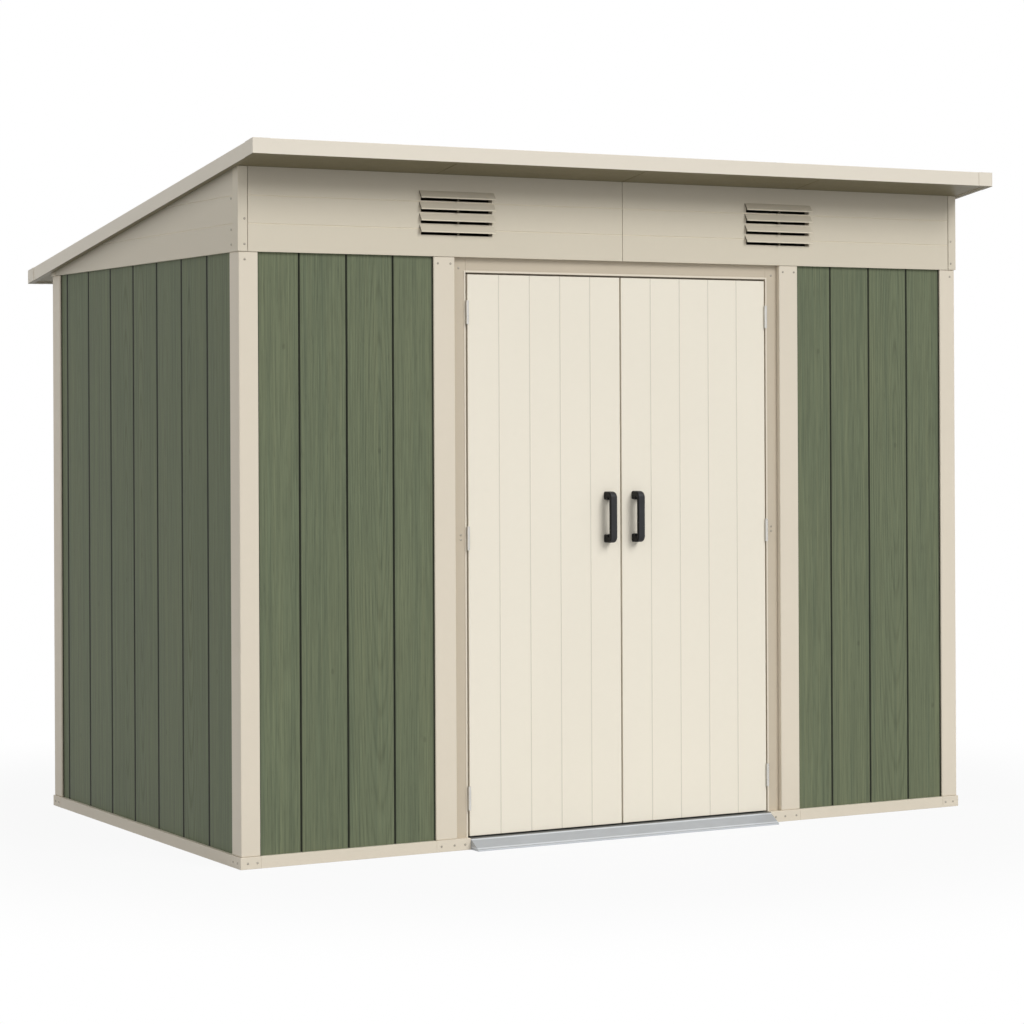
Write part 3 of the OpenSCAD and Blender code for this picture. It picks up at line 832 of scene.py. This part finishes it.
class SHED_OT_handles(ShedOperator, Operator):
    """Makes the two pull handles."""

    bl_idname = "shed.handles"
    bl_label = "Handles"

    def execute(self, context):
        tones = colours()
        for side in SIDES:
            low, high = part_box(f"handle_{side}")
            finish = satin_grip(
                f"handle_plastic_{side}", tones.handle, tones.handle_side_shade, low[0], middle_of(low, high, 2)
            )
            points, faces = self.handle(low, high)
            piece = place(f"pull_handle_{side}", points, faces, f"{side}_door", finish)
            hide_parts(f"handle_{side}")
        return {"FINISHED"}

    def handle(self, low, high):
        """A rounded box section carried along the handle's outer line.

        The outer line goes out from the leaf, round a quarter circle, up, round another
        and back. The section's thickness shrinks from the foot to the grip, and its centre
        is half a thickness inside the line.
        """
        size = sizes()
        foot_steps, turn_steps, grip_steps, columns = 8, 14, 14, 40
        foot_turn = 0.35
        reach, tall, wide = high[1] - low[1], high[2] - low[2], high[0] - low[0]
        bend = size.bend
        turn = np.linspace(0, np.pi / 2, turn_steps)[1:]
        foot = np.linspace(0, reach - bend, foot_steps)
        rise = np.linspace(bend, tall / 2, grip_steps)[1:]
        out = np.concatenate([foot, reach - bend + bend * np.sin(turn), np.full(len(rise), reach)])
        up = np.concatenate([np.zeros(foot_steps), bend - bend * np.cos(turn), rise])
        angle = np.concatenate([np.zeros(foot_steps), turn, np.full(len(rise), np.pi / 2)])
        blend = np.clip((angle - foot_turn) / (np.pi / 2 - foot_turn), 0, 1)
        thick = size.foot + (size.grip - size.foot) * blend ** 0.8
        inward = np.stack([-np.sin(angle), np.cos(angle)], axis=1)
        centre = np.stack([out, up], axis=1) + inward * thick[:, None] / 2
        across, through = rounded_ring(1.0, 1.0, 5.0, columns)
        ring = np.empty((len(centre), columns, 3))
        ring[:, :, 0] = middle_of(low, high, 0) + across[None] * wide / 2
        ring[:, :, 1] = high[1] - (centre[:, 0:1] + inward[:, 0:1] * through[None] * thick[:, None] / 2)
        ring[:, :, 2] = low[2] + centre[:, 1:2] + inward[:, 1:2] * through[None] * thick[:, None] / 2
        upper = ring[::-1].copy()
        upper[:, :, 2] = low[2] + high[2] - upper[:, :, 2]
        both = np.concatenate([ring, upper[1:]])
        points = both.reshape(-1, 3)
        return points, outward(points, tube_faces(len(both), columns))


class SHED_OT_hinges(ShedOperator, Operator):
    """Finishes the hinges."""

    bl_idname = "shed.hinges"
    bl_label = "Hinges"

    def execute(self, context):
        tones = colours()
        finish = brushed_metal("hinge_zinc", tones.zinc, (900.0, 900.0, 60.0), 0.3, 0.85)
        dress(["frame_hinges", "door_hinges_left", "door_hinges_right"], finish)
        return {"FINISHED"}


class SHED_OT_threshold(ShedOperator, Operator):
    """Finishes the ramp, sill and floor."""

    bl_idname = "shed.threshold"
    bl_label = "Ramp, sill and floor"

    def execute(self, context):
        tones = colours()
        low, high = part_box("door_ramp")

        def rim_highlights(r):
            """Painted highlights along the top edge and a line above the toe."""
            return r.z.rise(high[2] - 0.0042, high[2] - 0.0032).most(r.z.near(low[2] + 0.0085, 0.0022))

        dress(["door_ramp"], brushed_metal(
            "ramp_aluminium", tones.ramp, (7.0, 420.0, 420.0), 0.52, 0.65, [(rim_highlights, -0.45)]
        ))
        dress(["door_sill"], moulded_plastic("sill_plastic", tones.floor))
        dress(["floor_panels"], tread_floor("floor_plastic", tones.floor))
        soften(["door_ramp"], 0.0008)
        return {"FINISHED"}


class SHED_OT_screws(ShedOperator, Operator):
    """Sets the screws of the posts, jambs, feet, shoes, frieze trims and gables."""

    bl_idname = "shed.screws"
    bl_label = "Screws"

    def execute(self, context):
        tree, size = skin(), sizes()
        head = pan_head(size.screw / 2)
        finish = brushed_metal("screw_zinc", colours().screw, (300.0, 300.0, 300.0), 0.4, 0.6)
        front = [(sign * x, -3.0, z) for sign in SIDES.values() for x, z in self.front_spots()]
        spots, normals = seats(tree, front, (0, 1, 0))
        points, faces = many(*head, spots, basis_towards(normals))
        place("front_screws", points, faces, "shed", finish)
        for side, sign in SIDES.items():
            starts = [(sign * 3.0, y, z) for y, z in self.side_spots()]
            spots, normals = seats(tree, starts, (-sign, 0, 0))
            points, faces = many(*head, spots, basis_towards(normals))
            place(f"side_screws_{side}", points, faces, "shed", finish)
        return {"FINISHED"}

    def front_spots(self):
        """Distances from the middle and heights of the screws on one half of the front."""
        (post_in, _, _), (post_out, _, post_top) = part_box("door_post_right")
        jamb_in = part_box("door_leaf_right")[1][0]
        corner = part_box("corner_post_front_right")[1][0]
        trim_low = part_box("frieze_corners")[0][2]
        hinge = sizes().middle_hinge
        shoe, margin = 0.018, 0.02
        post_row = post_top - 0.022
        wide = post_out - post_in
        jamb = (jamb_in + post_in) / 2
        spots = [(post_in + 0.2 * wide, post_row), (post_in + 0.8 * wide, post_row)]
        spots += [(jamb + 0.004, post_row - 0.012), (jamb, hinge + 0.011), (jamb, hinge - 0.004)]
        spots += [(post_in + 0.16 * wide, shoe), (post_in + 0.77 * wide, shoe), (jamb, shoe)]
        spots += [(corner - margin, shoe), (corner - margin - 0.032, shoe)]
        spots += [(corner - margin, post_row - 0.002)]
        spots += [(corner - 0.018, trim_low + 0.022), (corner - 0.018, trim_low + 0.1)]
        return spots

    def side_spots(self):
        """Places along the depth and heights of the screws on a side."""
        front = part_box("corner_post_front_left")[0][1]
        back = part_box("corner_post_back_left")[1][1]
        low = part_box("frieze_corners")[0][2]
        shoe, margin, second = 0.018, 0.02, 0.054
        spots = [(front + 0.05, z) for z in (low + 0.022, low + 0.068, low + 0.163)]
        spots += [(y, shoe) for y in (front + margin, front + second, back - margin, back - second)]
        return spots


class SHED_OT_rafters(ShedOperator, Operator):
    """Makes the rafters, channels of folded sheet that rise with the roof."""

    bl_idname = "shed.rafters"
    bl_label = "Rafters"

    def execute(self, context):
        low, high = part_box("roof_rafters")
        points, faces = self.channels(low, high)
        zinc = spangled_zinc("rafter_zinc", colours().zinc)
        piece = place("rafter_channels", points, faces, "shed", zinc, smooth=False)
        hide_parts("roof_rafters")
        return {"FINISHED"}

    def channels(self, low, high):
        """A lipped channel's outline carried along y, its height low z + slope (high y - y)."""
        size = sizes()
        wide, deep, lip, sheet = size.rafter_width, size.rafter_depth, size.rafter_lip, size.sheet
        outer = [(wide, deep - lip), (wide, deep), (0, deep), (0, 0), (wide, 0), (wide, lip)]
        inner = [(wide - sheet, deep - lip), (wide - sheet, deep - sheet), (sheet, deep - sheet)]
        inner += [(sheet, sheet), (wide - sheet, sheet), (wide - sheet, lip)]
        outline = np.array(outer + inner[::-1])
        rows, columns = 12, len(outline)
        along = np.linspace(low[1], high[1], rows)
        slope = (high[2] - low[2] - deep) / (high[1] - low[1])
        rise = slope * (high[1] - along)
        points = np.empty((rows, columns, 3))
        points[:, :, 0] = outline[None, :, 0] - wide / 2
        points[:, :, 1] = along[:, None]
        points[:, :, 2] = low[2] + rise[:, None] + outline[None, :, 1]
        points = points.reshape(-1, 3)
        middles = np.array([low[0] + wide / 2, middle_of(low, high, 0), high[0] - wide / 2])
        spots = np.stack([middles, np.zeros(3), np.zeros(3)], axis=1)
        return many(points, outward(points, tube_faces(rows, columns)), spots)


class SHED_OT_stage(ShedOperator, Operator):
    """Sets the camera, the lights, the white surroundings and the pale floor."""

    bl_idname = "shed.stage"
    bl_label = "Stage"

    def execute(self, context):
        scene, stage = context.scene, context.scene.shed_stage
        self.camera(scene, stage)
        self.lights(scene, stage)
        self.floor(stage)
        scene.view_settings.view_transform = "Standard"
        return {"FINISHED"}

    def camera(self, scene, stage):
        """Turns the camera by its heading, then its pitch, then its roll."""
        lens = bpy.data.cameras.new("camera")
        lens.lens = stage.focal
        lens.sensor_width = 36.0
        lens.shift_x, lens.shift_y = stage.shift
        lens.clip_end = 200.0
        heading, pitch, roll = stage.heading, stage.pitch, stage.roll
        forward = Vector((
            math.sin(heading) * math.cos(pitch), math.cos(heading) * math.cos(pitch), math.sin(pitch)
        ))
        level = Vector((math.cos(heading), -math.sin(heading), 0.0))
        up = level.cross(forward)
        right = level * math.cos(roll) + up * math.sin(roll)
        up = up * math.cos(roll) - level * math.sin(roll)
        turned = Matrix((right, up, -forward)).transposed().to_4x4()
        camera = bpy.data.objects.new("camera", lens)
        camera.matrix_world = Matrix.Translation(Vector(stage.eye)) @ turned
        scene.collection.objects.link(camera)
        scene.camera = camera

    def sun(self, scene, name, strength, width, towards):
        """Adds a sun that shines from a direction."""
        sun = bpy.data.lights.new(name, "SUN")
        sun.energy = strength
        sun.angle = width
        lamp = bpy.data.objects.new(name, sun)
        lamp.rotation_euler = Vector(towards).to_track_quat("Z", "Y").to_euler()
        scene.collection.objects.link(lamp)

    def lights(self, scene, stage):
        """A soft key from the front right, a weak fill from the left, and an even white sky."""
        self.sun(scene, "key", stage.key, stage.key_angle, stage.key_from)
        self.sun(scene, "fill", stage.fill, stage.fill_angle, stage.fill_from)
        world = bpy.data.worlds.new("studio")
        world.use_nodes = True
        scene.world = world
        tree = world.node_tree
        sky = tree.nodes["Background"]
        white = tree.nodes.new("ShaderNodeBackground")
        rays = tree.nodes.new("ShaderNodeLightPath")
        both = tree.nodes.new("ShaderNodeMixShader")
        seen = tree.nodes.new("ShaderNodeMath")
        shiny = tree.nodes.new("ShaderNodeMath")
        seen.operation = shiny.operation = "MAXIMUM"
        sky.inputs["Color"].default_value = (1.0, 1.0, 1.0, 1.0)
        sky.inputs["Strength"].default_value = stage.sky
        white.inputs["Color"].default_value = (1.0, 1.0, 1.0, 1.0)
        white.inputs["Strength"].default_value = 1.0
        links = tree.links
        links.new(rays.outputs["Is Camera Ray"], seen.inputs[0])
        links.new(rays.outputs["Is Glossy Ray"], shiny.inputs[0])
        links.new(rays.outputs["Is Transmission Ray"], shiny.inputs[1])
        links.new(shiny.outputs[0], seen.inputs[1])
        links.new(seen.outputs[0], both.inputs["Fac"])
        links.new(sky.outputs[0], both.inputs[1])
        links.new(white.outputs[0], both.inputs[2])
        links.new(both.outputs[0], tree.nodes["World Output"].inputs["Surface"])

    def floor(self, stage):
        """A pale disc whose rings grow as the square of their number, under the shed."""
        rings, spokes = 24, 96
        radius = stage.floor_radius * (np.arange(rings) / (rings - 1)) ** 2
        turn = np.linspace(0, 2 * np.pi, spokes, endpoint=False)
        points = np.stack([
            radius[:, None] * np.cos(turn)[None], radius[:, None] * np.sin(turn)[None],
            np.full((rings, spokes), -0.0004),
        ], axis=-1)
        recipe = Recipe("floor_pale", {"Roughness": 1.0, "Specular IOR Level": 0.0})
        recipe.shader.inputs["Base Color"].default_value = (*[stage.floor_tone] * 3, 1.0)
        rays = recipe.tree.nodes.new("ShaderNodeLightPath")
        seen = Wire(recipe, rays.outputs["Is Camera Ray"]).most(Wire(recipe, rays.outputs["Is Glossy Ray"]))
        seen = seen.most(Wire(recipe, rays.outputs["Is Transmission Ray"]))
        away = ((recipe.x * recipe.x + recipe.y * recipe.y) ** 0.5).rise(stage.clear_from, stage.clear_to)
        glow = recipe.node("ShaderNodeEmission", None, {"Color": (1.0, 1.0, 1.0, 1.0), "Strength": 1.0})
        share = seen * (stage.floor_glow + (1 - stage.floor_glow) * away)
        output = recipe.tree.nodes["Material Output"]
        both = recipe.node(
            "ShaderNodeMixShader", None, {0: share, 1: Wire(recipe, recipe.shader.outputs[0]), 2: glow}
        )
        recipe.feed(output.inputs["Surface"], both)
        faces = grid_faces(rings, spokes)[:, ::-1]
        place("studio_floor", points.reshape(-1, 3), faces, None, recipe.material)


STEPS = (
    SHED_OT_stage, SHED_OT_walls, SHED_OT_trims, SHED_OT_frieze, SHED_OT_vents, SHED_OT_roof,
    SHED_OT_doors, SHED_OT_handles, SHED_OT_hinges, SHED_OT_threshold, SHED_OT_screws, SHED_OT_rafters,
)


class SHED_PT_sidebar(Panel):
    """Lists the shed's colours, sizes and steps."""

    bl_idname = "SHED_PT_sidebar"
    bl_label = "Garden shed"
    bl_space_type = "VIEW_3D"
    bl_region_type = "UI"
    bl_category = "Shed"

    def draw(self, context):
        scene = context.scene
        for group in (scene.shed_colours, scene.shed_sizes, scene.shed_stage):
            box = self.layout.box()
            for name in group.bl_rna.properties.keys():
                if name not in {"rna_type", "name"}:
                    box.prop(group, name)
        for step in STEPS:
            self.layout.operator(step.bl_idname)


CLASSES = (ShedColours, ShedSizes, ShedStage, *STEPS, SHED_PT_sidebar)


def register():
    """Registers the classes and the property groups."""
    for cls in CLASSES:
        bpy.utils.register_class(cls)
    bpy.types.Scene.shed_colours = PointerProperty(type=ShedColours)
    bpy.types.Scene.shed_sizes = PointerProperty(type=ShedSizes)
    bpy.types.Scene.shed_stage = PointerProperty(type=ShedStage)


def unregister():
    """Undoes register."""
    for name in ("shed_colours", "shed_sizes", "shed_stage"):
        delattr(bpy.types.Scene, name)
    for cls in reversed(CLASSES):
        bpy.utils.unregister_class(cls)


def main():
    """Runs every step in order."""
    register()
    for step in STEPS:
        space, action = step.bl_idname.split(".")
        getattr(getattr(bpy.ops, space), action)()


if __name__ == "__main__":
    main()
